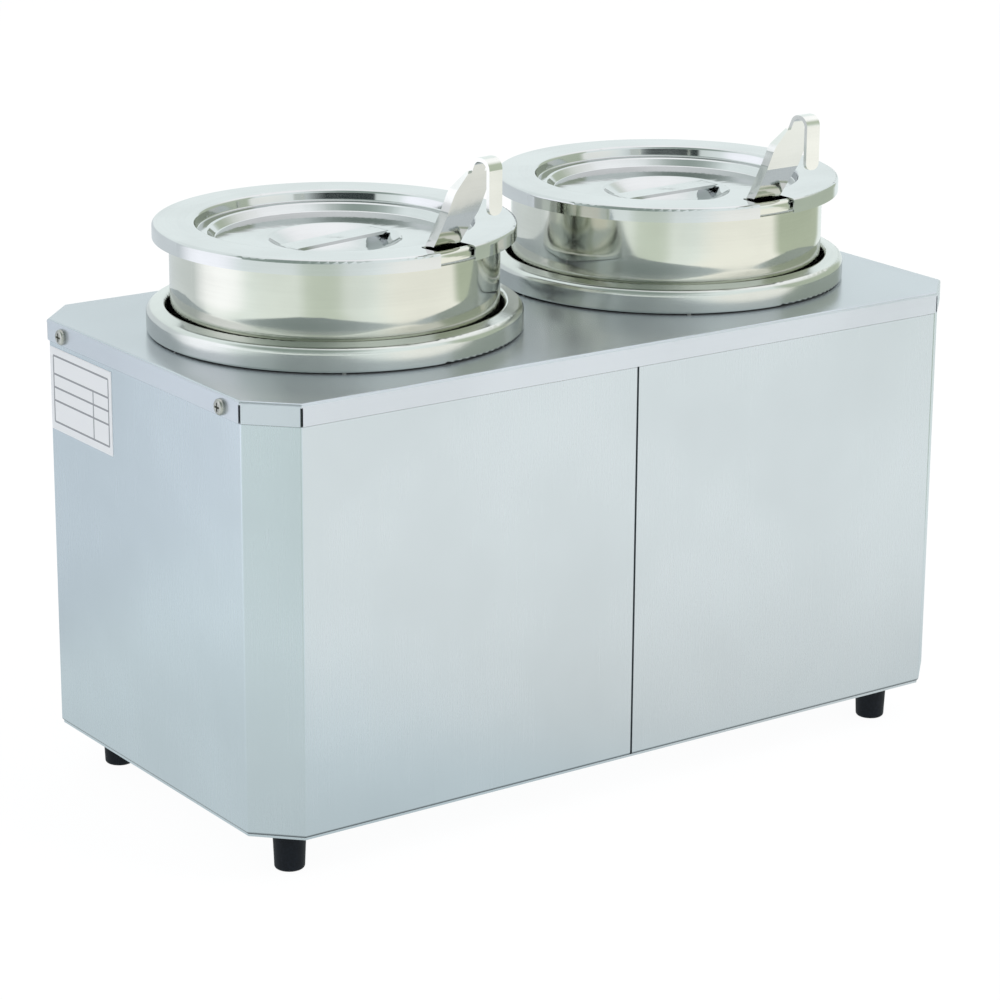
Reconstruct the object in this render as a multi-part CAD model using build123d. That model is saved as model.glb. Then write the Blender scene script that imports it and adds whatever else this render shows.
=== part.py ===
from build123d import *
from math import cos, radians, sin, sqrt
import os

os.makedirs("parts", exist_ok=True)

# All lengths in millimetres. The broad front faces -Y, the controls are on +Y,
# and z = 0 is the counter under the feet. Everything is drawn about the
# housing's middle and moved by origin_shift when it is written, so the origin
# is under the middle of the whole outline, from ladle hooks to knobs.
origin_shift = -8.2

# pots and the wells that hold them: the pot's size sets the width of the housing
inset_outside = 82.0
inset_wall = 0.8
inset_height = 185.6
inset_corner = 12.0
bead_size = 7.2
pot_clearance = 2.4
vessel_inside = inset_outside + pot_clearance
vessel_wall = 1.0
vessel_floor = 104.0
ring_height = 6.0
well_hole = vessel_inside + 1.8
stud_circle = vessel_inside + 6.0
stud_count = 6
gasket = 0.4
collar_radius = vessel_inside + 9.5
collar_band = 12.3
collar_rise = 14.3
collar_spacing = 19.6
well_x = collar_radius + collar_spacing / 2
pot_turn = {"left": 0.0, "right": -7.5}

# housing
end_margin = 18.4
width = 2 * (well_x + collar_radius + end_margin)
depth = 228.6
corner_leg = 21.0
foot_height = 25.4
pan_sheet = 1.2
sheet = 1.0
bend = 0.6
cover_top = 242.0
flange_height = 11.0
corner_slot = 1.3
slot_top = 2.0
return_width = 12.0
seam_gap = 1.2
seam_strip_width = 26.0

# lids
lid_radius = inset_outside + 8.25
lid_sheet = 0.8
lid_skirt = 7.4
recess_radius = inset_outside - 12.4
ledge_drop = 5.3
ledge_radius = recess_radius - 6.5
floor_radius = recess_radius - 9.9
floor_drop = 9.2
dimple_radius = 33.0
dimple_drop = 20.0
strap_width = 13.0
strap_reach = 31.6
strap_sheet = 1.6
strap_angle = 10.0
notch_angle = -81.4
notch_width = 22.5
notch_radius = inset_outside - 8.0

# ladles
lean = 0.65
rim_reach = inset_outside - 1.3
web = 1.5
channel_depth = 5.0
hook_sheet = 2.0
hook_width = 8.4
hook_open = 9.0
hook_drop = 27.0
handle_width = 17.4
blade_width = 20.7
ladle_rise = 48.0
bowl_radius = 25.0
bowl_wall = 1.2
bowl_gap = 0.3

# fittings
foot_inset = 29.8
foot_top, foot_bottom = 8.6, 7.5
control_z = 72.0
knob_radius = 19.0
dial_size = 66.0
dial_sheet = 0.8
shaft_radius = 3.0
shaft_fit = 0.05
hole_fit = 0.25
element_radius = 46.0
pin_drop = 34.0
cut_out_y = 26.0
label_long, label_tall = 62.5, 43.0
nut_across, nut_height = 7.0, 3.2
block_long, block_deep, block_high = 60.0, 20.0, 16.0

half_w, half_d = width / 2, depth / 2
foot_x, foot_y = half_w - foot_inset, half_d - foot_inset
pan_top = foot_height + pan_sheet
under_cover = cover_top - sheet
outer_wall = sheet
inner_wall = 2 * sheet
wrap_y = half_d - outer_wall
inset_floor = vessel_floor + ring_height
bead_top = inset_floor + inset_height
lid_top = bead_top + lid_sheet
sides = {"left": -1, "right": 1}


def octagon(inset):
    leg = corner_leg - (2 - sqrt(2)) * inset
    x, y = half_w - inset, half_d - inset
    return [(x, leg - y), (x, y - leg), (x - leg, y), (leg - x, y),
            (-x, y - leg), (-x, leg - y), (leg - x, -y), (x - leg, -y)]


def prism(points, low, high):
    face = make_face(Polyline(*points, close=True))
    return extrude(Pos(0, 0, low) * face, amount=high - low)


def box(low, high):
    size = [h - l for l, h in zip(low, high)]
    middle = [(l + h) / 2 for l, h in zip(low, high)]
    return Pos(*middle) * Box(*size)


def rod(x, y, low, high, radius):
    return Pos(x, y, (low + high) / 2) * Cylinder(radius, high - low)


def ribbon(points, radii, thick):
    # the face of a sheet of even thickness whose middle follows the points
    steps = [(b[0] - a[0], b[1] - a[1]) for a, b in zip(points, points[1:])]
    steps = [(x / sqrt(x * x + y * y), y / sqrt(x * x + y * y)) for x, y in steps]
    normals = [(-y, x) for x, y in steps]
    edges = []
    for side in (1, -1):
        row = []
        for i, (px, py) in enumerate(points):
            a, b = normals[max(i - 1, 0)], normals[min(i, len(normals) - 1)]
            scale = side * thick / 2 / (1 + a[0] * b[0] + a[1] * b[1])
            row.append((px + (a[0] + b[0]) * scale, py + (a[1] + b[1]) * scale))
        turns = [a[0] * b[1] - a[1] * b[0] for a, b in zip(steps, steps[1:])]
        bends = [max(r - side * thick / 2 * (1 if t > 0 else -1), 0)
                 for r, t in zip(radii, turns)]
        if bends:
            edges.append(FilletPolyline(*row, radius=bends))
        else:
            edges.append(Line(*row))
    left, right = edges
    ends = [Line(left @ 0, right @ 0), Line(left @ 1, right @ 1)]
    return make_face(left.edges() + right.edges() + [e.edge() for e in ends])


def spun(points, radii, thick):
    return revolve(Plane.XZ * ribbon(points, radii, thick), Axis.Z)


def tube(points, radius, bend_radius):
    path = FilletPolyline(*points, radius=bend_radius)
    start = Plane(origin=path @ 0, z_dir=path % 0)
    return sweep(start * Circle(radius), path=path)


def ring(count, radius, start=0.0):
    return [(radius * cos(radians(start + 360 * i / count)),
             radius * sin(radians(start + 360 * i / count))) for i in range(count)]


def pan_screw(head, head_height, shank, length):
    # the head's seat is at z = 0 and the shank runs down from it
    dome = Cylinder(head, head_height, align=(Align.CENTER, Align.CENTER, Align.MIN))
    dome = fillet(dome.edges().sort_by(Axis.Z)[-1], head_height * 0.6)
    cross = Box(head * 1.1, head * 0.24, head_height) + Box(head * 0.24, head * 1.1, head_height)
    dome -= Pos(0, 0, head_height) * cross
    return dome + rod(0, 0, -length, 0, shank)


def hex_nut(across, bore, height):
    body = extrude(RegularPolygon(across / 2, 6, major_radius=False), amount=height)
    return body - rod(0, 0, -1, height + 1, bore)


def save(name, *solids):
    whole = [Pos(0, origin_shift, 0) * s for item in solids for s in item.solids()]
    shape = whole[0] if len(whole) == 1 else Compound(children=whole)
    export_step(shape, f"parts/{name}.step")


at_well = {side: Pos(sign * well_x, 0, 0) for side, sign in sides.items()}
turned = {side: Rot(0, 0, pot_turn[side]) for side in sides}
to_rear = Rot(-90, 0, 0)

# top cover: octagonal pan with flanges parted by a slot at every corner
side_screw_y = half_d - corner_leg - 15.9
cover_side_screws = [(sx * half_w, sy * side_screw_y, cover_top - 6.4) for sx in (-1, 1) for sy in (-1, 1)]
screw_shank = 1.9
top_cover = prism(octagon(0), cover_top - flange_height, cover_top)
top_cover = fillet(top_cover.edges().group_by(Axis.Z)[-1], sheet + bend)
hollow = prism(octagon(sheet), cover_top - flange_height - 1, under_cover)
hollow = fillet(hollow.edges().group_by(Axis.Z)[-1], bend)
top_cover -= hollow
for x, y in octagon(0):
    turn = 22.5 if abs(abs(x) - half_w) < 1e-6 else 67.5
    turn = turn * (1 if x * y > 0 else -1)
    slot = Rot(0, 0, turn) * Box(12, corner_slot, flange_height)
    top_cover -= Pos(x, y, cover_top - slot_top - flange_height / 2) * slot
for x in (-well_x, well_x):
    top_cover -= rod(x, 0, cover_top - 5, cover_top + 5, well_hole)
    for dx, dy in ring(stud_count, stud_circle):
        top_cover -= rod(x + dx, dy, cover_top - 5, cover_top + 5, 2 + hole_fit)
for x, y, z in cover_side_screws:
    top_cover -= Pos(x, y, z) * Rot(0, 90, 0) * Cylinder(screw_shank + hole_fit, 8)
save("top_cover", top_cover)

# the two wraps: one octagonal shell, parted at the front and rear middle
shell = prism(octagon(outer_wall), pan_top, under_cover)
shell = fillet(shell.edges(), sheet + bend)
inside = prism(octagon(inner_wall), pan_top + sheet, under_cover - sheet)
shell -= fillet(inside.edges(), bend)
shell -= prism(octagon(inner_wall + return_width), 0, cover_top)
screw_in = inner_wall + 7
end_screw, mid_screw, side_screw_gap = half_w - 51, 60, 45
base_screw_spots = [(sx * x, sy * (half_d - screw_in)) for x in (end_screw, mid_screw)
                    for sx in (-1, 1) for sy in (-1, 1)]
base_screw_spots += [(sx * (half_w - screw_in), sy * side_screw_gap) for sx in (-1, 1) for sy in (-1, 1)]
for x, y in base_screw_spots:
    shell -= rod(x, y, 0, 60, screw_shank + hole_fit / 5)
for x, y, z in cover_side_screws:
    shell -= Pos(x, y, z) * Rot(0, 90, 0) * Cylinder(screw_shank + hole_fit / 5, 8)
dial_corner = 26.0
dial_screw_spots = [(sx * well_x + dx, control_z + dz) for sx in (-1, 1)
                    for dx in (-dial_corner, dial_corner) for dz in (-dial_corner, dial_corner)]
bushing_radius = 4.8
for x in (-well_x, well_x):
    shell -= Pos(x, half_d, control_z) * to_rear * Cylinder(bushing_radius + hole_fit, 12)
for x, z in dial_screw_spots:
    shell -= Pos(x, half_d, z) * to_rear * Cylinder(1.5 + hole_fit, 12)
bush_x, bush_z, bush_neck = 32.0, 50.0, 8.0
shell -= Pos(bush_x, half_d, bush_z) * to_rear * Cylinder(bush_neck + hole_fit, 12)
for side, sign in sides.items():
    keep = Pos(sign * (half_w + seam_gap / 2), 0, 0) * Box(width, 2 * depth, 3 * cover_top)
    save(f"{side}_wrap", shell & keep)

# joining strips behind the two seams
for name, sign in (("front", -1), ("rear", 1)):
    face = sign * (half_d - inner_wall)
    low, high = sorted((face, face - sign * sheet))
    strip = box((-seam_strip_width / 2, low, pan_top + sheet + bend),
                (seam_strip_width / 2, high, under_cover - sheet - bend))
    save(f"{name}_seam_strip", strip)

# base pan with air slots, its screws, feet and their screws and nuts
base_pan = prism(octagon(inner_wall), foot_height, pan_top)
for x, y in base_screw_spots:
    base_pan -= rod(x, y, 0, 60, screw_shank + hole_fit)
for sx in (-1, 1):
    for sy in (-1, 1):
        base_pan -= rod(sx * foot_x, sy * foot_y, 0, 60, 2 + hole_fit)
air_slot = extrude(SlotOverall(52, 5), amount=20)
for x in (-well_x, well_x):
    for y in range(-60, 61, 15):
        base_pan -= Pos(x, y, foot_height - 5) * air_slot
block_x, block_y = 0.0, half_d - 52.3
block_holes = [block_x + sx * (block_long / 2 - 6) for sx in (-1, 1)]
for x in block_holes:
    base_pan -= rod(x, block_y, 0, 60, 1.5 + hole_fit)
save("base_pan", base_pan)
under_screw = Rot(180, 0, 0) * pan_screw(3.6, 2.0, screw_shank, 7)
save("base_screws", *[Pos(x, y, foot_height) * under_screw for x, y in base_screw_spots])

corners = [(sx * foot_x, sy * foot_y) for sx in (-1, 1) for sy in (-1, 1)]
foot_recess = 14.0
foot = Cone(foot_bottom, foot_top, foot_height, align=(Align.CENTER, Align.CENTER, Align.MIN))
foot = fillet(foot.edges().sort_by(Axis.Z)[0], 1.5)
foot -= rod(0, 0, -1, foot_recess, 4.6)
foot -= rod(0, 0, 0, foot_height + 1, 2 + hole_fit)
save("feet", *[Pos(x, y, 0) * foot for x, y in corners])
foot_screw = Rot(180, 0, 0) * pan_screw(4.0, 2.6, 2.0, pan_top + nut_height + 2.7 - foot_recess)
save("foot_screws", *[Pos(x, y, foot_recess) * foot_screw for x, y in corners])
nut = hex_nut(nut_across, 2.05, nut_height)
save("foot_nuts", *[Pos(x, y, pan_top) * nut for x, y in corners])

side_screw = pan_screw(4.0, 2.4, screw_shank, 8)
save("cover_screws", *[Pos(x, y, z) * Rot(0, 90 if x > 0 else -90, 0) * side_screw
                       for x, y, z in cover_side_screws])
label_y, label_z = half_d - corner_leg - 1.3, cover_top - flange_height - 3
save("rating_label", box((-half_w + sheet - 0.25, label_y - label_long, label_z - label_tall),
                         (-half_w + sheet, label_y, label_z)))

# vessels: wall, embossed floor ring and rolled collar are one spun piece
vm = vessel_inside + vessel_wall / 2
fm = vessel_floor - vessel_wall / 2
rm = fm + ring_height
cm = collar_radius - vessel_wall / 2
base_of_collar = cover_top + gasket + vessel_wall / 2
vessel = spun(
    [(0, fm), (vm - 27.9, fm), (vm - 24.4, rm), (vm - 17.4, rm), (vm - 13.9, fm), (vm, fm),
     (vm, cover_top + collar_rise - 0.6), (cm, cover_top + collar_band - 0.6),
     (cm, base_of_collar), (well_hole + 1.2, base_of_collar)],
    [1.2, 1.2, 1.2, 1.2, 6, 1.2, 3.0, 1.0], vessel_wall)
seal = rod(0, 0, cover_top, cover_top + gasket, collar_radius - 1.5)
seal -= rod(0, 0, cover_top - 1, cover_top + 2, well_hole + 0.8)
for x, y in ring(stud_count, stud_circle):
    seal -= rod(x, y, cover_top - 1, cover_top + 2, 2 + hole_fit)
stud_low = cover_top - 8
studs = [rod(x, y, stud_low, cover_top + gasket, 2.0) for x, y in ring(stud_count, stud_circle)]
nuts = [Pos(x, y, under_cover - nut_height) * nut for x, y in ring(stud_count, stud_circle)]

# heating under each vessel: ring element, clamp cross, stud, nut and cut-out
floor_under = vessel_floor - vessel_wall
element_high, element_wide = 6.5, 7.0
er = element_radius
section = make_face(Polyline(
    (er - element_wide / 2, floor_under), (er + element_wide / 2, floor_under),
    (er + element_wide / 2, floor_under - element_high),
    (er - element_wide / 2, floor_under - element_high), close=True))
section = fillet(section.vertices().group_by(Axis.Y)[0], 2.4)
heater_face = Rot(0, 0, 105) * (Plane.XZ * section)
heater = revolve(heater_face, Axis.Z, 330)
for angle in (105, 75):
    a = radians(angle)
    x, y = er * cos(a), er * sin(a)
    x, y = x + 1.8 * (1 if angle > 90 else -1) * -1, y
    heater += rod(x, y, floor_under - pin_drop + 8, floor_under - 3, 2.6)
    heater += rod(x, y, floor_under - pin_drop, floor_under - pin_drop + 9, 1.4)
clamp_top = floor_under - element_high
cross_reach = er + element_wide / 2
cross = box((-cross_reach, -7, clamp_top - 2), (cross_reach, 7, clamp_top))
cross = Rot(0, 0, 45) * (cross + Rot(0, 0, 90) * cross)
cross -= rod(0, 0, 60, 120, 3 + hole_fit)
centre_stud = rod(0, 0, clamp_top - 10, floor_under, 3.0)
centre_nut = Pos(0, 0, clamp_top - 7) * hex_nut(10.0, 3.05, 5)
cut_out = rod(0, cut_out_y, floor_under - 9, floor_under, 8.5)
cut_out += rod(0, cut_out_y, floor_under - 3, floor_under - 1.5, 11.0)
tab_end, tab_x = floor_under - 17, 4.5
for dx in (-tab_x, tab_x):
    cut_out += box((dx - 0.4, cut_out_y - 3, tab_end), (dx + 0.4, cut_out_y + 3, floor_under - 9))

# controls on the rear
inner_face = half_d - inner_wall
bracket_back = inner_face - 1.6
body_back = bracket_back - 30
bracket = box((-31, bracket_back, -31), (31, inner_face, 31))
control = bracket + box((-18, body_back, -18), (18, bracket_back, 18))
control += Pos(0, inner_face + 0.9, 0) * to_rear * Cylinder(bushing_radius, 2.2)
control -= Pos(0, inner_face - 8, 0) * to_rear * Cylinder(shaft_radius + shaft_fit, 24)
for x, z in [(sx * dial_corner, sz * dial_corner) for sx in (-1, 1) for sz in (-1, 1)]:
    control -= Pos(x, inner_face, z) * to_rear * Cylinder(1.5 + 0.05, 8)
for dx in (-10, 10):
    control += box((dx - 3, body_back - 8, -0.4), (dx + 3, body_back, 0.4))
dial = Pos(0, wrap_y + dial_sheet / 2, 0) * Box(dial_size, dial_sheet, dial_size)
dial = fillet(dial.edges().filter_by(Axis.Y), 5)
dial -= Pos(0, wrap_y, 0) * to_rear * Cylinder(bushing_radius + hole_fit, 8)
for x, z in [(sx * dial_corner, sz * dial_corner) for sx in (-1, 1) for sz in (-1, 1)]:
    dial -= Pos(x, wrap_y, z) * to_rear * Cylinder(1.5 + hole_fit, 8)
dial_face = wrap_y + dial_sheet
dial_screw = to_rear * pan_screw(3.0, 1.8, 1.5, 6)
knob_gap = 0.8
off_angle = 135
shaft = Cylinder(shaft_radius, 28) - Pos(0, -shaft_radius - 1.2, 11) * Box(9, 4, 14)
knob = Cylinder(knob_radius, 4.5, align=(Align.CENTER, Align.CENTER, Align.MIN))
knob = fillet(knob.edges().sort_by(Axis.Z)[-1], 1.5)
grip = extrude(SlotOverall(2 * knob_radius - 2, 10, rotation=90), amount=19)
grip = fillet(grip.edges().group_by(Axis.Z)[-1], 2.0)
hub = Cylinder(9.5, 15, align=(Align.CENTER, Align.CENTER, Align.MIN))
knob = knob + grip + fillet(hub.edges().sort_by(Axis.Z)[-1], 2.0)
knob -= box((-0.7, -knob_radius, 17.8), (0.7, -2, 22))
knob -= Pos(0, 0, -0.5 - knob_gap) * shaft
shaft = Pos(0, dial_face - 0.5, 0) * to_rear * Rot(0, 0, off_angle) * shaft
knob = Pos(0, dial_face + knob_gap, 0) * to_rear * Rot(0, 0, off_angle) * knob

# sensing bulb clipped to the vessel wall, its fine tube running to the control
bulb_y = vessel_inside + vessel_wall + 3.2
bulb_low, clip_low = vessel_floor + 14, vessel_floor + 36
bulb = rod(0, bulb_y, bulb_low, bulb_low + 62, 3.0)
bulb += tube([(0, bulb_y, bulb_low + 1), (0, bulb_y, vessel_floor + 4), (0, bulb_y + 9, vessel_floor - 3),
              (0, bulb_y + 9, control_z + 18)], 0.9, 3.0)
clip = rod(0, bulb_y, clip_low, clip_low + 12, 3.7)
clip += box((-9, bulb_y - 3.6, clip_low), (9, bulb_y - 2.2, clip_low + 12))
clip -= rod(0, bulb_y, clip_low - 10, clip_low + 20, 3.05)
clip -= rod(0, 0, clip_low - 10, clip_low + 20, vessel_inside + vessel_wall + 0.02)

# lids: rim, stepped recess and finger dimple spun from one disc, one open notch
half = lid_sheet / 2
lid = spun(
    [(0, lid_top - dimple_drop - half), (17, lid_top - dimple_drop - half),
     (dimple_radius, lid_top - floor_drop - half), (floor_radius, lid_top - floor_drop - half),
     (ledge_radius, lid_top - ledge_drop - half), (recess_radius - 1, lid_top - ledge_drop - half),
     (recess_radius, lid_top - half), (lid_radius - half, lid_top - half),
     (lid_radius - half, lid_top - lid_skirt)],
    [28, 2.0, 1.2, 1.2, 1.2, 1.4, 1.4], lid_sheet)
notch = Pos(notch_radius + 15, 0, lid_top - 8) * Box(30, notch_width, 18)
notch = fillet(notch.edges().filter_by(Axis.Z).group_by(Axis.X)[0], 3.0)
lid -= Rot(0, 0, notch_angle) * notch
strap_top = lid_top - floor_drop
strap = extrude(Plane.XZ * ribbon(
    [(-strap_reach, strap_top - 8), (-strap_reach, strap_top - strap_sheet / 2),
     (strap_reach, strap_top - strap_sheet / 2), (strap_reach, strap_top - 8)],
    [2.2, 2.2], strap_sheet), amount=strap_width / 2, both=True)
strap = Rot(0, 0, strap_angle) * strap
under_strap = spun(
    [(0, lid_top - dimple_drop - half - 10), (17, lid_top - dimple_drop - half - 10),
     (dimple_radius, lid_top - floor_drop - half - 10), (70, lid_top - floor_drop - half - 10)],
    [28, 2.0], lid_sheet + 20)
strap = (strap - lid - under_strap).solids().sort_by(SortBy.VOLUME)[-1]

# insets: spun pot with a rolled bead
im = inset_outside - inset_wall / 2
bead_out = im + bead_size - inset_wall
bead_low = bead_top - bead_size + inset_wall / 2
inset = spun(
    [(0, inset_floor + inset_wall / 2), (im, inset_floor + inset_wall / 2),
     (im, bead_top - inset_wall / 2), (bead_out, bead_top - inset_wall / 2),
     (bead_out, bead_low), (im + 1.6, bead_low)],
    [inset_corner - inset_wall / 2, 2.7, 2.7, 2.7], inset_wall)

# ladles: bowl, channelled handle and hook pressed from one strip
bowl_floor = inset_floor + inset_wall + bowl_gap
bowl_rim = bowl_floor + bowl_radius
bead_pass = bead_top + 0.4
ladle_top = bead_pass + ladle_rise


def front_face(z):
    return rim_reach + lean * (z - bead_pass)


bowl_x = front_face(bowl_rim) - bowl_radius
bend_z = bead_pass + 0.38 * ladle_rise
upper = 0.47
tip = sqrt(1 + lean ** 2)
back_x, back_z = -1 / tip, lean / tip
low_z = bowl_rim - 5


def behind(z, distance):
    x = front_face(z)
    return (x + back_x * distance, z + back_z * distance)


def upper_point(z, distance):
    x = front_face(bend_z) + upper * (z - bend_z)
    size = sqrt(1 + upper ** 2)
    return (x - distance / size, z + upper * distance / size)


def side_plate(points, width_across):
    return extrude(Plane.XZ * make_face(Polyline(*points, close=True)), amount=width_across / 2, both=True)


def handle_outline(margin):
    # parallel below, widest above the bend and drawn in to the hook's width
    turns = [(handle_width, 0.10), (blade_width, 0.42), (blade_width, 0.63), (hook_width, 0.93)]
    outline = [(handle_width, low_z - 30), *[(w, bead_pass + share * ladle_rise) for w, share in turns],
               (hook_width, ladle_top + 10)]
    halves = [FilletPolyline(*[(side * (w / 2 - margin), z) for w, z in outline], radius=0.2 * ladle_rise)
              for side in (1, -1)]
    ends = [Line(halves[0] @ t, halves[1] @ t) for t in (0, 1)]
    face = make_face(halves[0].edges() + halves[1].edges() + [e.edge() for e in ends])
    return extrude(Plane.YZ * face, amount=250, both=True)


spring_z = bead_pass + 0.83 * ladle_rise
handle = side_plate(
    [behind(low_z, 0), behind(bend_z, 0), upper_point(spring_z, 0), upper_point(spring_z, hook_sheet),
     upper_point(bend_z + 12, channel_depth), behind(bend_z, channel_depth),
     behind(low_z, channel_depth)], 24)
handle &= handle_outline(0)
channel = side_plate(
    [behind(low_z - 5, web), behind(bend_z, web), upper_point(bend_z + 14, web),
     upper_point(bend_z + 14, channel_depth + 6), behind(bend_z, channel_depth + 6),
     behind(low_z - 5, channel_depth + 6)], 24)
handle -= channel & handle_outline(web)
hook_start = upper_point(spring_z - 1, hook_sheet / 2)
hook_mid_top = ladle_top - hook_sheet / 2
hook_turn = upper_point(hook_mid_top - upper * hook_sheet / 2 / sqrt(1 + upper ** 2), hook_sheet / 2)
hook_x = hook_turn[0] + hook_open
hook = extrude(Plane.XZ * ribbon(
    [hook_start, (hook_turn[0], hook_mid_top), (hook_x, hook_mid_top), (hook_x, ladle_top - hook_drop)],
    [4.6, 4.6], hook_sheet), amount=hook_width / 2, both=True)
hook = fillet(hook.edges().filter_by(Axis.X).group_by(Axis.Z)[0], 3.6)
ball = Pos(bowl_x, 0, bowl_rim)
bowl = ball * (Sphere(bowl_radius) - Sphere(bowl_radius - bowl_wall))
bowl -= box((-200, -60, bowl_rim), (60, 60, bowl_rim + 60))
handle -= ball * Sphere(bowl_radius - bowl_wall)
ladle = Rot(0, 0, notch_angle) * (handle + hook + bowl)

# cable entry and terminal block
bush = Cylinder(bush_neck, 12) + Pos(0, 0, 4) * Cylinder(11, 4) + Pos(0, 0, -4.4) * Cylinder(9.6, 3)
bush = bush - Cylinder(4.2, 30)
bush = Pos(bush_x, wrap_y - 2, bush_z) * to_rear * bush
block = Pos(block_x, block_y, pan_top + block_high / 2) * Box(block_long, block_deep, block_high)
pocket_low, pocket_pitch, rib = pan_top + block_high - 7, 9, 3
for i in range(-2, 3):
    x = block_x + i * pocket_pitch
    for near, far in ((rib, block_deep), (-block_deep, -rib)):
        block -= box((x - 3.3, block_y + near, pocket_low), (x + 3.3, block_y + far, pocket_low + 20))
for x in block_holes:
    block -= rod(x, block_y, 0, 80, 1.5 + hole_fit)

# leads: element to control, control to cut-out, and both ends to the terminal block
lead, lead_bend, blade_x = 1.2, 3.0, 10
pin_x, pin_y = er * cos(radians(75)) + 1.8, er * sin(radians(75))
pin_end, blade_end, block_end = floor_under - pin_drop, body_back - 8, block_y - rib
block_z = pocket_low + 2.4
near, far = well_x - pocket_pitch, well_x - 2 * pocket_pitch
behind_blade, below_blade = blade_end - 9.7, control_z - 16
routes = [
    [(-pin_x, pin_y, pin_end), (-pin_x, pin_y, below_blade), (-blade_x, behind_blade, below_blade),
     (-blade_x, behind_blade, control_z), (-blade_x, blade_end, control_z)],
    [(blade_x, blade_end, control_z), (blade_x, behind_blade + 2, control_z),
     (blade_x, behind_blade + 2, below_blade - 6), (tab_x, cut_out_y, below_blade - 6),
     (tab_x, cut_out_y, tab_end)],
    [(-tab_x, cut_out_y, tab_end), (-tab_x, cut_out_y, block_z + 5), (far, block_end - 26, block_z),
     (far, block_end, block_z)],
    [(pin_x, pin_y, pin_end), (pin_x, pin_y, block_z + 8), (near, block_end - 16, block_z),
     (near, block_end, block_z)],
]
leads = [tube([(sign * (well_x - x), y, z) for x, y, z in route], lead, lead_bend)
         for sign in sides.values() for route in routes]
save("wiring", *leads)

for side, sign in sides.items():
    put = at_well[side]
    save(f"{side}_vessel", put * vessel)
    save(f"{side}_gasket", put * seal)
    save(f"{side}_element", put * heater)
    save(f"{side}_thermostat", Pos(0, 0, control_z) * put * control)
    save(f"{side}_dial", Pos(0, 0, control_z) * put * dial)
    save(f"{side}_shaft", Pos(0, 0, control_z) * put * shaft)
    save(f"{side}_knob", Pos(0, 0, control_z) * put * knob)
    save(f"{side}_bulb", put * bulb)
    save(f"{side}_inset", put * turned[side] * inset)
    save(f"{side}_lid", put * turned[side] * lid)
    save(f"{side}_lid_handle", put * turned[side] * strap)
    save(f"{side}_ladle", put * turned[side] * ladle)
both = list(at_well.values())
save("vessel_studs", *[put * s for put in both for s in studs])
save("vessel_nuts", *[put * s for put in both for s in nuts])
save("element_clamps", *[put * cross for put in both])
save("element_studs", *[put * centre_stud for put in both])
save("element_nuts", *[put * centre_nut for put in both])
save("cut_outs", *[put * cut_out for put in both])
save("bulb_clips", *[put * clip for put in both])
save("dial_screws", *[Pos(x, dial_face, z) * dial_screw for x, z in dial_screw_spots])
save("terminal_block", block)
save("cord_bush", bush)
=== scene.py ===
import math

import bmesh
import bpy
from mathutils import Matrix, Vector


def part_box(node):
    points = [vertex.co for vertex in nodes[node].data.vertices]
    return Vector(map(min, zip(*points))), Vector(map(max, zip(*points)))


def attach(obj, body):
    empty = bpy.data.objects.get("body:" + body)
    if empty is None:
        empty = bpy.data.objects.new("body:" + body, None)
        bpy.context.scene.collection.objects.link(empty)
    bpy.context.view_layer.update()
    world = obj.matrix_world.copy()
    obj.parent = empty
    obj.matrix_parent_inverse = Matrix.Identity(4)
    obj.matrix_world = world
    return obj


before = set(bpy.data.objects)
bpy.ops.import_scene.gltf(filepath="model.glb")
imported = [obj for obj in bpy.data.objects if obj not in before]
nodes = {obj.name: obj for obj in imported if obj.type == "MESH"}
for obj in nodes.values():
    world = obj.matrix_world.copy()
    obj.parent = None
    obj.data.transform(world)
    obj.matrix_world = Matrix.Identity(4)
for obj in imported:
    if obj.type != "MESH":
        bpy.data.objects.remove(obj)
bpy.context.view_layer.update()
print("frame loaded:", len(nodes), "nodes")

# where the two wells stand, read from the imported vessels
sides = ("left", "right")
wellAt = {}
for side in sides:
    low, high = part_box(side + "_vessel")
    wellAt[side] = Vector(((low.x + high.x) / 2, (low.y + high.y) / 2, 0))
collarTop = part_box("left_vessel")[1].z


class Wire:
    # one socket of a graph, with arithmetic
    def __init__(self, graph, socket):
        self.graph, self.socket = graph, socket

    def __add__(self, other):
        return self.graph.maths("ADD", self, other)

    def __radd__(self, other):
        return self.graph.maths("ADD", other, self)

    def __sub__(self, other):
        return self.graph.maths("SUBTRACT", self, other)

    def __rsub__(self, other):
        return self.graph.maths("SUBTRACT", other, self)

    def __mul__(self, other):
        return self.graph.maths("MULTIPLY", self, other)

    def __rmul__(self, other):
        return self.graph.maths("MULTIPLY", other, self)

    def __truediv__(self, other):
        return self.graph.maths("DIVIDE", self, other)

    def __rtruediv__(self, other):
        return self.graph.maths("DIVIDE", other, self)

    def __pow__(self, other):
        return self.graph.maths("POWER", self, other)

    def __lt__(self, other):
        return self.graph.maths("LESS_THAN", self, other)

    def __gt__(self, other):
        return self.graph.maths("GREATER_THAN", self, other)

    def abs(self):
        return self.graph.maths("ABSOLUTE", self)

    def smooth(self, low, high, outLow=0.0, outHigh=1.0):
        return self.graph.node("ShaderNodeMapRange", {"interpolation_type": "SMOOTHSTEP"},
                               {0: self, 1: low, 2: high, 3: outLow, 4: outHigh})


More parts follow.
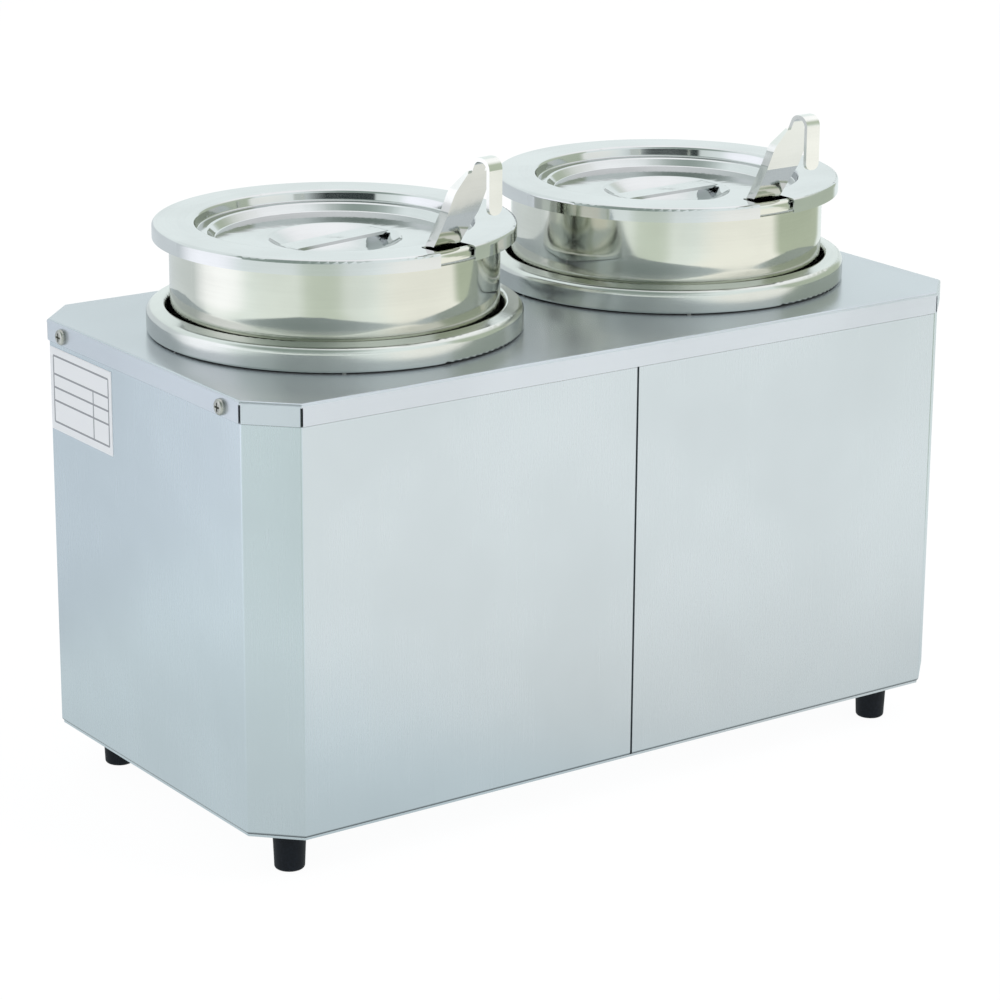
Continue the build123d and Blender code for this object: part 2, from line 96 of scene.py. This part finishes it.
class Graph:
    # a material's or the world's node tree
    def __init__(self, tree):
        self.tree = tree
        tree.nodes.clear()

    def node(self, kind, settings=None, sockets=None, out=0):
        made = self.tree.nodes.new(kind)
        for key, value in (settings or {}).items():
            setattr(made, key, value)
        for key, value in (sockets or {}).items():
            socket = made.inputs[key]
            if isinstance(value, Wire):
                self.tree.links.new(value.socket, socket)
            else:
                socket.default_value = value
        return Wire(self, made.outputs[out]) if len(made.outputs) else None

    def maths(self, operation, *values):
        return self.node("ShaderNodeMath", {"operation": operation}, dict(enumerate(values)))

    def place(self, scale=(1, 1, 1), offset=(0, 0, 0)):
        here = self.node("ShaderNodeNewGeometry")
        return self.node("ShaderNodeMapping", {}, {0: here, 1: offset, 3: scale})

    def vector(self, *parts):
        return self.node("ShaderNodeCombineXYZ", {}, dict(enumerate(parts)))

    def parts(self, vector):
        split = self.node("ShaderNodeSeparateXYZ", {}, {0: vector}).socket.node
        return [Wire(self, output) for output in split.outputs]

    def noise(self, vector, scale=1.0, detail=2.0, rough=0.5):
        return self.node("ShaderNodeTexNoise", {},
                         {"Vector": vector, "Scale": scale, "Detail": detail, "Roughness": rough})

    def blend(self, factor, a, b):
        a, b = (c if isinstance(c, Wire) else (*c, 1.0) for c in (a, b))
        return self.node("ShaderNodeMix", {"data_type": "RGBA"}, {0: factor, 6: a, 7: b}, 2)

    def bump(self, height, strength, distance):
        return self.node("ShaderNodeBump", {},
                         {"Height": height, "Strength": strength, "Distance": distance})

    def surface(self, **sockets):
        values = {key.replace("_", " "): value for key, value in sockets.items()}
        shader = self.node("ShaderNodeBsdfPrincipled", {}, values)
        self.node("ShaderNodeOutputMaterial", {}, {0: shader})


def newMaterial(name):
    material = bpy.data.materials.new(name)
    material.use_nodes = True
    return material, Graph(material.node_tree)


def addObject(name, data):
    made = bpy.data.objects.new(name, data)
    bpy.context.collection.objects.link(made)
    return made


def addMesh(name, shape):
    mesh = bpy.data.meshes.new(name)
    shape.to_mesh(mesh)
    shape.free()
    return addObject(name, mesh)


black = (0.0, 0.0, 0.0)

# sheet steel of the housing; reach values are heights above the edge they darken with painted
# shade
housingLook = {
    "wrap": {"colour": (0.725, 0.800, 0.855), "roughness": 0.27, "metallic": 1.0},
    # the cover's upright flange and its level top are one sheet; the flange's lighter colour is
    # painted light and the top's darker colour is painted shade
    "flange": {"colour": (0.735, 0.785, 0.845), "roughness": 0.30, "metallic": 0.80},
    "cover": {"colour": (0.635, 0.685, 0.725), "roughness": 0.25, "metallic": 0.80},
    "dial": {"colour": (0.76, 0.77, 0.78), "roughness": 0.34, "metallic": 1.0},
    "grain": {"across": 1500.0, "along": 14.0, "finer": 2.3, "coarseShare": 0.6,
              "bump": 0.012, "depth": 0.0002},
    "cloud": {"scale": 9.0, "share": 0.8},
    "tone": {"span": (0.30, 0.70), "darkest": 0.92},
    "roughnessSpread": 0.06,
    "levelSpan": (0.3, 0.8),  # upward share of a face's normal over which it takes the top finish
    "paintedSillShadow": {"reach": (0.0007, 0.0016), "paintedShade": 0.30},
    "paintedLapShadow": {"reach": (-0.0009, 0.0001), "paintedShade": 0.06},
}


def brushedSheet(name, side, top, grainAxis, paintedSillShadow=None, paintedLapShadow=None):
    # side is the finish of upright faces, top that of level ones, and where their colours differ
    # that difference is painted light and shade;
    # the next argument is the height of a lower edge under a band of painted shadow, and the last
    # the height over which another sheet covers this one, above which this sheet is painted dark
    # as the shade under it
    material, g = newMaterial(name)
    grainLook, cloudLook, toneLook = (housingLook[k] for k in ("grain", "cloud", "tone"))
    scale = [grainLook["across"]] * 3
    scale[grainAxis] = grainLook["along"]
    streaks = g.noise(g.place(tuple(scale)), detail=3.0, rough=0.6)
    fine = g.noise(g.place(tuple(s * grainLook["finer"] for s in scale)))
    cloud = g.noise(g.place(), cloudLook["scale"], 3.0, 0.55)
    grain = streaks * grainLook["coarseShare"] + fine * (1 - grainLook["coarseShare"])
    mottle = cloud * cloudLook["share"] + grain * (1 - cloudLook["share"])
    tone = mottle.smooth(*toneLook["span"], toneLook["darkest"], 1.0)
    height = g.parts(g.place())[2]
    # painted shadow: a band along the sheet's lower edge is darkened, as the shade under its
    # rounded bend
    if paintedSillShadow is not None:
        reach = [paintedSillShadow + r for r in housingLook["paintedSillShadow"]["reach"]]
        tone = tone * height.smooth(*reach, housingLook["paintedSillShadow"]["paintedShade"], 1.0)
    # painted shade: from just below the edge of the sheet that laps over this one and upwards,
    # this sheet is painted nearly black, as the shade in the gap under that sheet
    if paintedLapShadow is not None:
        reach = [paintedLapShadow + r for r in housingLook["paintedLapShadow"]["reach"]]
        tone = tone * height.smooth(*reach, 1.0, housingLook["paintedLapShadow"]["paintedShade"])
    # upright and level faces take their own colours, which paints light and shade on a sheet by
    # the way each face turns
    faceZ = g.parts(g.node("ShaderNodeNewGeometry", {}, {}, "Normal"))[2]
    level = faceZ.smooth(*housingLook["levelSpan"])
    colour = g.blend(level, side["colour"], top["colour"])
    roughness, metallic = (level * (top[k] - side[k]) + side[k] for k in ("roughness", "metallic"))
    wear = (cloud + grain) / 2 - 0.5
    g.surface(Base_Color=g.blend(tone, black, colour), Metallic=metallic,
              Roughness=roughness + wear * housingLook["roughnessSpread"],
              Normal=g.bump(grain, grainLook["bump"], grainLook["depth"]))
    return material


# spun steel of vessels, pots, lids and ladles: across is along the radius and the height, around
# along the rim; shoulder gives the heights above the collar between which the bump makes a pot
# look drawn in
potLook = {
    "finishes": {
        "_vessel": {"colour": (0.81, 0.835, 0.80), "roughness": 0.18},
        "_inset": {"colour": (0.83, 0.84, 0.765), "roughness": 0.10,
                   "shoulder": (0.003, 0.0105), "taper": 0.16},
        "_lid": {"colour": (0.80, 0.82, 0.82), "roughness": 0.075},
        "_lid_handle": {"colour": (0.80, 0.82, 0.82), "roughness": 0.10},
        "_ladle": {"colour": (0.93, 0.94, 0.90), "roughness": 0.09},
    },
    "rings": {"across": 900.0, "around": 1.3, "share": 0.6, "toneShare": 0.15},
    "bands": {"across": 90.0, "around": 0.8, "share": 0.4, "toneShare": 0.3},
    "smear": {"scale": 24.0, "toneShare": 0.55},
    "dents": {"radial": 20.0, "around": 7.0, "upward": 4.0, "bump": 0.35},
    "ringBump": 0.008,
    "bumpDepth": 0.0002,
    "tone": {"span": (0.34, 0.62), "darkest": 0.90},
    "roughnessSpread": 0.05,
}


def spunSteel(name, centre, finish):
    material, g = newMaterial(name)
    ringLook, bandLook, smearLook, dentLook, toneLook = (
        potLook[k] for k in ("rings", "bands", "smear", "dents", "tone"))
    x, y, z = g.parts(g.place((1, 1, 1), (-centre.x, -centre.y, 0)))
    radius = (x * x + y * y) ** 0.5
    sweep = g.maths("ARCTAN2", y, x)
    rings, bands = (
        g.noise(g.vector(radius * look["across"], sweep * look["around"], z * look["across"]),
                detail=detail, rough=rough)
        for look, detail, rough in ((ringLook, 3.0, 0.6), (bandLook, 2.0, 0.5)))
    smear = g.noise(g.place(), smearLook["scale"], 3.0, 0.5)
    dents = g.noise(g.vector(radius * dentLook["radial"], sweep * dentLook["around"],
                             z * dentLook["upward"]))
    lines = rings * ringLook["share"] + bands * bandLook["share"]
    relief = lines * potLook["ringBump"] + dents * dentLook["bump"]
    if "shoulder" in finish:
        low, high = (collarTop + s for s in finish["shoulder"])
        inward, straight = (g.maths("SMOOTH_MIN", z - level, 0.0, (high - low) / 2)
                            for level in (high, low))
        relief = relief + (inward - straight) * (finish["taper"] / potLook["bumpDepth"])
    mottle = (rings * ringLook["toneShare"] + bands * bandLook["toneShare"]
              + smear * smearLook["toneShare"])
    tone = mottle.smooth(*toneLook["span"], toneLook["darkest"], 1.0)
    wear = (rings + smear) / 2 - 0.5
    g.surface(Base_Color=g.blend(tone, black, finish["colour"]), Metallic=1.0,
              Roughness=finish["roughness"] + wear * potLook["roughnessSpread"],
              Normal=g.bump(relief, 1.0, potLook["bumpDepth"]))
    return material


# plain metal of fasteners, elements and bulbs: worn is the tone of its dull spots
fittingLook = {
    # the strips behind the housing's seam gaps are the same steel, painted dark as the shade in
    # those gaps
    "paintedShadeSeam": {"colour": (0.10, 0.11, 0.12), "roughness": 0.5, "scale": 200.0},
    "zincPlate": {"colour": (0.62, 0.62, 0.58), "roughness": 0.28, "scale": 300.0},
    "elementSheath": {"colour": (0.20, 0.185, 0.165), "roughness": 0.5, "scale": 90.0},
    "bareCopper": {"colour": (0.80, 0.42, 0.27), "roughness": 0.25, "scale": 160.0},
}
wornLook = {"worn": 0.75, "span": (0.35, 0.65), "roughnessSpread": 0.2,
            "bump": 0.08, "depth": 0.0003}


def plainSteel(name):
    material, g = newMaterial(name)
    look = fittingLook[name]
    smear = g.noise(g.place(), look["scale"], 3.0, 0.6)
    worn = tuple(c * wornLook["worn"] for c in look["colour"])
    spread = smear.smooth(*wornLook["span"])
    g.surface(Base_Color=g.blend(spread, worn, look["colour"]), Metallic=1.0,
              Roughness=look["roughness"] + (smear - 0.5) * wornLook["roughnessSpread"],
              Normal=g.bump(smear, wornLook["bump"], wornLook["depth"]))
    return material


# rubber and plastics: speck is the scale of the lighter flecks, depth that of the grain
mouldedLook = {
    "footRubber": {"colour": (0.002, 0.004, 0.008), "roughness": 0.55,
                   "speck": 700.0, "depth": 0.0003},
    "sealRubber": {"colour": (0.014, 0.014, 0.014), "roughness": 0.7,
                   "speck": 900.0, "depth": 0.0002},
    "controlBody": {"colour": (0.030, 0.030, 0.032), "roughness": 0.5,
                    "speck": 500.0, "depth": 0.0002},
    "knobPlastic": {"colour": (0.012, 0.012, 0.013), "roughness": 0.28,
                    "speck": 260.0, "depth": 0.0001},
    "wireSleeve": {"colour": (0.42, 0.045, 0.035), "roughness": 0.6,
                   "speck": 400.0, "depth": 0.0002},
}
fleckLook = {"gain": 1.6, "lift": 0.004, "span": (0.4, 0.75), "roughnessSpread": 0.15,
             "bump": 0.25, "specular": 0.25}


def moulded(name):
    material, g = newMaterial(name)
    look = mouldedLook[name]
    spots = g.noise(g.place(), look["speck"], 3.0, 0.6)
    lighter = tuple(min(1.0, c * fleckLook["gain"] + fleckLook["lift"]) for c in look["colour"])
    g.surface(Base_Color=g.blend(spots.smooth(*fleckLook["span"]), look["colour"], lighter),
              Specular_IOR_Level=fleckLook["specular"],
              Roughness=look["roughness"] + (spots - 0.5) * fleckLook["roughnessSpread"],
              Normal=g.bump(spots, fleckLook["bump"], look["depth"]))
    return material


# rating film: blank, with ruled lines where a plate would be filled in; rows, halves and the
# divider are shares of its height and width, and line is a line's half width
labelLook = {
    "film": (0.86, 0.87, 0.88), "rule": (0.30, 0.31, 0.33), "line": 0.0005,
    "rows": (0.10, 0.36, 0.52, 0.68, 0.90), "halfWide": 0.45, "halfTall": 0.401,
    "divider": {"at": 0.30, "middle": 0.39, "half": 0.29}, "inkSpan": (0.2, 0.8),
    "fibre": 900.0, "roughness": 0.42, "roughnessSpread": 0.1, "bump": 0.04, "depth": 0.0001,
}


def ratingFilm():
    material, g = newMaterial("ratingFilm")
    low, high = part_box("rating_label")
    place = g.parts(g.place())
    wide, tall = high.y - low.y, high.z - low.z
    u, v = (place[1] - low.y) / wide, (place[2] - low.z) / tall
    acrossLine, upLine = labelLook["line"] / tall, labelLook["line"] / wide
    inWidth = (u - 0.5).abs() < labelLook["halfWide"]
    inHeight = (v - 0.5).abs() < labelLook["halfTall"]
    ruled = sum(((v - row).abs() < acrossLine) * inWidth for row in labelLook["rows"])
    for edge in (0.5 - labelLook["halfWide"], 0.5 + labelLook["halfWide"]):
        ruled = ruled + ((u - edge).abs() < upLine) * inHeight
    divider = labelLook["divider"]
    inDivider = (v - divider["middle"]).abs() < divider["half"]
    ruled = ruled + ((u - divider["at"]).abs() < upLine) * inDivider
    fibre = g.noise(g.place(), labelLook["fibre"])
    drawn = ruled.smooth(*labelLook["inkSpan"])
    g.surface(Base_Color=g.blend(drawn, labelLook["film"], labelLook["rule"]),
              Roughness=labelLook["roughness"] + (fibre - 0.5) * labelLook["roughnessSpread"],
              Normal=g.bump(fibre, labelLook["bump"], labelLook["depth"]))
    return material


wrapFinish, dialFinish = housingLook["wrap"], housingLook["dial"]
wrapSteel = brushedSheet("wrapSteel", wrapFinish, wrapFinish, 2,
                         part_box("left_wrap")[0].z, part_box("top_cover")[0].z)
coverSteel = brushedSheet("coverSteel", housingLook["flange"], housingLook["cover"], 0)
panSteel = brushedSheet("panSteel", wrapFinish, wrapFinish, 0)
dialSteel = brushedSheet("dialPlate", dialFinish, dialFinish, 0)
paintedShadeSeam, zincPlate, sheath, copper = (plainSteel(name) for name in fittingLook)
rubber, sealRubber, phenolic, knobPlastic, sleeve = (moulded(name) for name in mouldedLook)
film = ratingFilm()
print("materials made")

dress = {
    "top_cover": coverSteel, "left_wrap": wrapSteel, "right_wrap": wrapSteel, "base_pan": panSteel,
    "front_seam_strip": paintedShadeSeam, "rear_seam_strip": paintedShadeSeam, "feet": rubber,
    "rating_label": film, "cut_outs": phenolic, "terminal_block": phenolic,
    "cord_bush": phenolic, "wiring": sleeve,
}
paired = {"_gasket": sealRubber, "_element": sheath, "_thermostat": phenolic, "_knob": knobPlastic,
          "_dial": dialSteel, "_bulb": copper}
for side in sides:
    for part, look in paired.items():
        dress[side + part] = look
    for part, finish in potLook["finishes"].items():
        name = side + part.title().replace("_", "") + "Steel"
        dress[side + part] = spunSteel(name, wellAt[side], finish)
for name, piece in nodes.items():
    look = dress.get(name, zincPlate)  # every screw, nut, stud, clip and shaft is plated
    if not piece.data.materials:
        piece.data.materials.append(look)
    for i in range(len(piece.data.materials)):
        piece.data.materials[i] = look
print("nodes dressed")

# dial figures, clockwise from off to full seen from behind; angles in degrees, sizes in metres
dialLook = {"figures": 10, "first": -135.0, "last": 135.0, "radius": 0.0262, "size": 0.0052,
            "thick": 0.00002, "tickInner": 0.0205, "tickOuter": 0.0228, "tickWide": 0.0006,
            "lift": 0.00005, "ink": (0.012, 0.012, 0.013), "worn": (0.03, 0.03, 0.032),
            "fleck": 1200.0, "roughness": 0.45}
ink, g = newMaterial("dialInk")
fleck = g.noise(g.place(), dialLook["fleck"])
g.surface(Base_Color=g.blend(fleck, dialLook["ink"], dialLook["worn"]),
          Roughness=dialLook["roughness"])


def dialFigures(side):
    low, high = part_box(side + "_dial")
    base = Vector(((low.x + high.x) / 2, high.y + dialLook["lift"], (low.z + high.z) / 2))
    facingRear = Matrix(((-1, 0, 0, 0), (0, 0, 1, 0), (0, 1, 0, 0), (0, 0, 0, 1)))
    made = []
    count = dialLook["figures"]
    shape = bmesh.new()
    for i in range(count + 1):
        turn = math.radians(dialLook["first"] + (dialLook["last"] - dialLook["first"]) * i / count)
        outward = Vector((-math.sin(turn), 0, math.cos(turn)))
        beside = Vector((math.cos(turn), 0, math.sin(turn))) * dialLook["tickWide"] / 2
        inner, outer = (base + outward * dialLook[k] for k in ("tickInner", "tickOuter"))
        corners = [inner - beside, inner + beside, outer + beside, outer - beside]
        shape.faces.new([shape.verts.new(c) for c in corners])
        text = bpy.data.curves.new(f"{side}Figure{i}", "FONT")
        text.body = str(i)
        text.size = dialLook["size"]
        text.align_x, text.align_y = "CENTER", "CENTER"
        text.extrude = dialLook["thick"]
        figure = addObject(f"{side}Figure{i}", text)
        figure.matrix_world = Matrix.Translation(base + outward * dialLook["radius"]) @ facingRear
        made.append(figure)
    made.append(addMesh(side + "Ticks", shape))
    for piece in made:
        piece.data.materials.append(ink)
        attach(piece, "housing")


for side in sides:
    dialFigures(side)
print("dial figures made")

# floor and room: nearFloor and farFloor are distances from the base pan between which the painted
# shadow on the mirrored floor fades out, and fill is the even light that matt surfaces get
stageLook = {
    "floorColour": (0.86, 0.87, 0.88), "floorSize": 12.0, "floorCells": 8,
    "seenGlow": 0.92, "seenStrength": 1.03, "eyeHeight": 0.25,
    "nearFloor": 0.0, "farFloor": 0.42, "nearShade": 0.26,
    "fill": (0.95, 0.97, 1.0), "fillStrength": 0.75,
}

# the studio as the steel mirrors it: one even tone, and panels that face the part from all round;
# angles in degrees, span from where a panel has its full tone to where it ends; echoLoss dims what
# is seen in a second mirror
studioLook = {"tone": (0.86, 0.93, 0.93), "echoLoss": 0.25, "panels": [
    {"azimuth": -62.0, "elevation": -22.0, "span": (18.0, 44.0), "tone": (0.97, 0.97, 0.93)},
    {"azimuth": -140.0, "elevation": -12.0, "span": (10.0, 44.0), "tone": (0.80, 0.86, 0.84)},
    {"azimuth": -134.0, "elevation": -14.0, "span": (3.0, 17.0), "tone": (0.62, 0.69, 0.62)},
    {"azimuth": -150.0, "elevation": 48.0, "span": (10.0, 46.0), "tone": (0.27, 0.33, 0.30)},
    {"azimuth": -10.0, "elevation": 12.0, "span": (33.0, 40.0), "tone": (0.48, 0.54, 0.44)},
    {"azimuth": 105.0, "elevation": -12.0, "span": (32.0, 42.0), "tone": (0.67, 0.72, 0.75)},
    {"azimuth": 155.0, "elevation": 4.0, "span": (14.0, 30.0), "tone": (1.14, 1.15, 1.22)},
    {"azimuth": 10.0, "elevation": 66.0, "span": (12.0, 46.0), "tone": (1.06, 1.06, 1.08)},
]}


def studioTone(g, towards):
    tone = studioLook["tone"]
    for panel in studioLook["panels"]:
        turn, rise, inner, outer = (
            math.radians(a) for a in (panel["azimuth"], panel["elevation"], *panel["span"]))
        middle = (math.cos(turn) * math.cos(rise), math.sin(turn) * math.cos(rise), math.sin(rise))
        facing = g.node("ShaderNodeVectorMath", {"operation": "DOT_PRODUCT"},
                        {0: towards, 1: middle}, 1)
        tone = g.blend(facing.smooth(math.cos(outer), math.cos(inner)), tone, panel["tone"])
    return tone


def pathOf(g):
    # whether the eye or polished metal looks this way, and whether it sees it in a second mirror
    outputs = g.node("ShaderNodeLightPath").socket.node.outputs
    seen, mirrored, depth = (
        Wire(g, outputs[k]) for k in ("Is Camera Ray", "Is Glossy Ray", "Glossy Depth"))
    return seen, mirrored, depth.smooth(1.0, 2.0)


floorMaterial, g = newMaterial("studioFloor")
seen, mirrored, again = pathOf(g)
fromEye = g.place((1, 1, 1), (0, 0, -stageLook["eyeHeight"]))
towards = g.node("ShaderNodeVectorMath", {"operation": "NORMALIZE"}, {0: fromEye})
panLow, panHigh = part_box("base_pan")
halfSize = (panHigh - panLow) / 2
here = g.parts(g.place())
outX, outY = (g.maths("MAXIMUM", along.abs() - half, 0.0)
              for along, half in zip(here, (halfSize.x, halfSize.y)))
# painted shadow: as polished metal sees it, the floor is darkened near the base pan, as the
# object's shadow
paintedShade = ((outX * outX + outY * outY) ** 0.5).smooth(
    stageLook["nearFloor"], stageLook["farFloor"], stageLook["nearShade"], 0.0)
paintedShadowTone = g.blend(paintedShade, studioTone(g, towards), black)
mirrorTone = g.blend(again * studioLook["echoLoss"], paintedShadowTone, black)
matt = g.node("ShaderNodeBsdfDiffuse", {}, {0: (*stageLook["floorColour"], 1.0)})
white = g.node("ShaderNodeEmission", {}, {0: (1, 1, 1, 1), 1: stageLook["seenStrength"]})
# polished metal sees the floor glow with the painted studio tones and that painted shadow, not the
# floor as the lamps light it
paintedMirrorGlow = g.node("ShaderNodeEmission", {}, {0: mirrorTone, 1: 1.0})
faced = g.node("ShaderNodeMixShader", {}, {0: seen * stageLook["seenGlow"], 1: matt, 2: white})
mixed = g.node("ShaderNodeMixShader", {}, {0: mirrored, 1: faced, 2: paintedMirrorGlow})
g.node("ShaderNodeOutputMaterial", {}, {0: mixed})
shape = bmesh.new()
cells = stageLook["floorCells"]
bmesh.ops.create_grid(shape, x_segments=cells, y_segments=cells, size=stageLook["floorSize"] / 2)
floor = addMesh("studioFloor", shape)
floor.data.materials.append(floorMaterial)

# the dark doorway that faces the front left corner, with a lit bar across it: edges in degrees
# beside its azimuth, and each opening as (bottom from, to, top from, to) of the upward direction
# with how dark it is
doorLook = {"dark": (0.025, 0.035, 0.035), "azimuth": -125.3,
            "leftEdge": (-34.0, -30.0), "rightEdge": (8.0, 42.0),
            "openings": (((0.112, 0.125, 0.180, 0.195), 1.0),
                         ((0.266, 0.278, 0.315, 0.328), 0.6))}
world = bpy.data.worlds.new("studio")
bpy.context.scene.world = world
world.use_nodes = True
g = Graph(world.node_tree)
seen, mirrored, again = pathOf(g)
direction = g.node("ShaderNodeTexCoord", {}, {}, "Generated")
dx, dy, dz = g.parts(direction)
facing = math.radians(doorLook["azimuth"])
flat = (dx * dx + dy * dy + 1e-6) ** 0.5
toward = (dx * math.cos(facing) + dy * math.sin(facing)) / flat
beside = (dy * math.cos(facing) - dx * math.sin(facing)) / flat
leftEdge, rightEdge = ([math.sin(math.radians(a)) for a in doorLook[k]]
                       for k in ("leftEdge", "rightEdge"))
between = (toward > 0.0) * beside.smooth(*leftEdge) * beside.smooth(*rightEdge, 1.0, 0.0)
door = between * sum(dz.smooth(*span[:2]) * dz.smooth(*span[2:], depth, 0.0)
                     for span, depth in doorLook["openings"])
room = g.blend(door, studioTone(g, direction), doorLook["dark"])
sky = g.blend(again * studioLook["echoLoss"], room, black)
white = g.node("ShaderNodeBackground", {}, {0: (1, 1, 1, 1), 1: 1.0})
mirror = g.node("ShaderNodeBackground", {}, {0: sky, 1: 1.0})
fill = g.node("ShaderNodeBackground", {},
              {0: (*stageLook["fill"], 1.0), 1: stageLook["fillStrength"]})
inner = g.node("ShaderNodeMixShader", {}, {0: mirrored, 1: fill, 2: mirror})
outer = g.node("ShaderNodeMixShader", {}, {0: seen, 1: inner, 2: white})
g.node("ShaderNodeOutputWorld", {}, {0: outer})

# soft lamps, aimed at the middle of the housing; power in watts
lamps = {
    "keyLamp": {"place": (1.0, -1.5, 1.6), "size": 1.2, "power": 17.0,
                "colour": (1.0, 0.99, 0.97)},
    "fillLamp": {"place": (-1.5, -1.0, 1.2), "size": 1.0, "power": 6.0,
                 "colour": (0.95, 0.98, 1.0)},
    "rearLamp": {"place": (0.6, 1.7, 1.5), "size": 1.2, "power": 6.0,
                 "colour": (1.0, 1.0, 1.0)},
}
lampAim = Vector((0, 0, 0.16))
for name, lamp in lamps.items():
    data = bpy.data.lights.new(name, "AREA")
    data.shape, data.size = "SQUARE", lamp["size"]
    data.energy, data.color = lamp["power"], lamp["colour"]
    light = addObject(name, data)
    light.location = lamp["place"]
    light.visible_glossy = False
    light.rotation_euler = (lampAim - light.location).to_track_quat("-Z", "Y").to_euler()

# camera: angles in degrees, focalPixels for a picture of framePixels across
view = {"azimuth": -35.28, "elevation": 17.19, "distance": 1.8, "roll": 0.40,
        "target": (-0.00247, -0.0082, 0.13354), "focalPixels": 3432.7, "framePixels": 1000,
        "sensor": 36.0, "farthest": 50.0}
turn, tilt, roll = (math.radians(view[k]) for k in ("azimuth", "elevation", "roll"))
ahead = Vector((-math.sin(turn) * math.cos(tilt), math.cos(turn) * math.cos(tilt),
                -math.sin(tilt)))
level = Vector((math.cos(turn), math.sin(turn), 0))
above = level.cross(ahead)
right = level * math.cos(roll) + above * math.sin(roll)
upward = above * math.cos(roll) - level * math.sin(roll)
stand = Vector(view["target"]) - ahead * view["distance"]
camera = addObject("camera", bpy.data.cameras.new("camera"))
camera.matrix_world = Matrix((
    (right.x, upward.x, -ahead.x, stand.x), (right.y, upward.y, -ahead.y, stand.y),
    (right.z, upward.z, -ahead.z, stand.z), (0, 0, 0, 1)))
camera.data.sensor_width = view["sensor"]
camera.data.lens = view["focalPixels"] / view["framePixels"] * view["sensor"]
camera.data.clip_end = view["farthest"]
bpy.context.scene.camera = camera
bpy.context.scene.view_settings.view_transform = "Standard"
print("stage, lights and camera ready")
